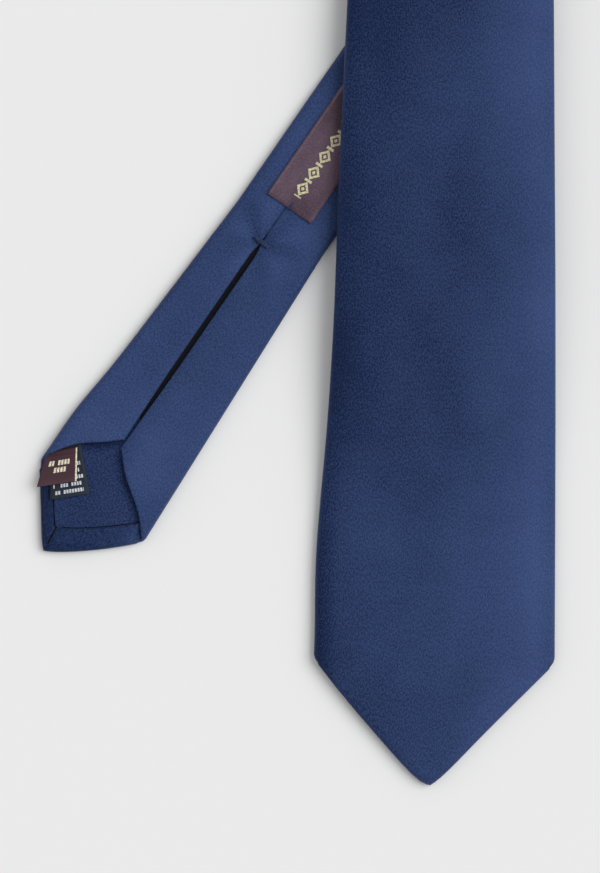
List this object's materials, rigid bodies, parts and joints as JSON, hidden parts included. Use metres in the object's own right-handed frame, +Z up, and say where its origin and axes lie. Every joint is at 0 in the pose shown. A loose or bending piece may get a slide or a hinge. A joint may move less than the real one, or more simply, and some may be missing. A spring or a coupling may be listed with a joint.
{
  "type": "necktie",
  "caption": "Plain satin necktie laid flat and folded once at the neck, wide blade face up over the slanting tail, with sewn labels and a keeper loop behind.",
  "frame": {"origin": "middle of the footprint of the folded tie, on the table", "axes": "+Z up from the table; +Y from the blade's tip towards the neck fold, along the length; +X to the right, seen from above"},
  "size_m": [0.2288, 0.7426, 0.015],
  "materials": {
    "silk_satin": "fine satin weave, soft sheen",
    "silk_lining": "self silk, smooth satin",
    "wool_interlining": "brushed wool cloth, dyed dark",
    "navy_thread": "twisted silk thread",
    "maker_label_satin": null,
    "origin_label_taffeta": null,
    "care_label_taffeta": null
  },
  "bodies": {
    "tail_leg": {"tail_silk": "silk_satin", "neck_silk": "silk_satin", "tail_interlining": "wool_interlining", "tail_tipping": "silk_lining", "tail_tipping_seam": "navy_thread", "tail_slip_stitch": "navy_thread", "tail_bar_tack": "navy_thread", "maker_label": "maker_label_satin", "maker_label_lower_tack": "navy_thread", "maker_label_upper_tack": "navy_thread"},
    "blade_leg": {"blade_silk": "silk_satin", "blade_interlining": "wool_interlining", "blade_tipping": "silk_lining", "blade_tipping_seam": "navy_thread", "blade_slip_stitch": "navy_thread", "blade_bar_tack": "navy_thread", "keeper_loop": "silk_satin", "keeper_loop_left_tack": "navy_thread", "keeper_loop_right_tack": "navy_thread"},
    "care_label": {"care_label": "care_label_taffeta"},
    "origin_label": {"origin_label": "origin_label_taffeta"}
  },
  "joints": [
    {"name": "neck_fold", "type": "hinge", "parent": "tail_leg", "child": "blade_leg", "pos_m": [0.03465, 0.36894, 0.0075], "axis": [-0.9855, -0.1697, 0], "range_deg": [0, 180], "deforming": ["neck_silk", "tail_interlining"]},
    {"name": "care_label_hinge", "type": "hinge", "parent": "tail_leg", "child": "care_label", "pos_m": [-0.10501, -0.26157, 0.0036], "axis": [-0.9739, -0.2268, 0], "range_deg": [0, 90]},
    {"name": "origin_label_hinge", "type": "hinge", "parent": "care_label", "child": "origin_label", "pos_m": [-0.10501, -0.26157, 0.00405], "axis": [-0.9739, -0.2268, 0], "range_deg": [0, 60]}
  ]
}
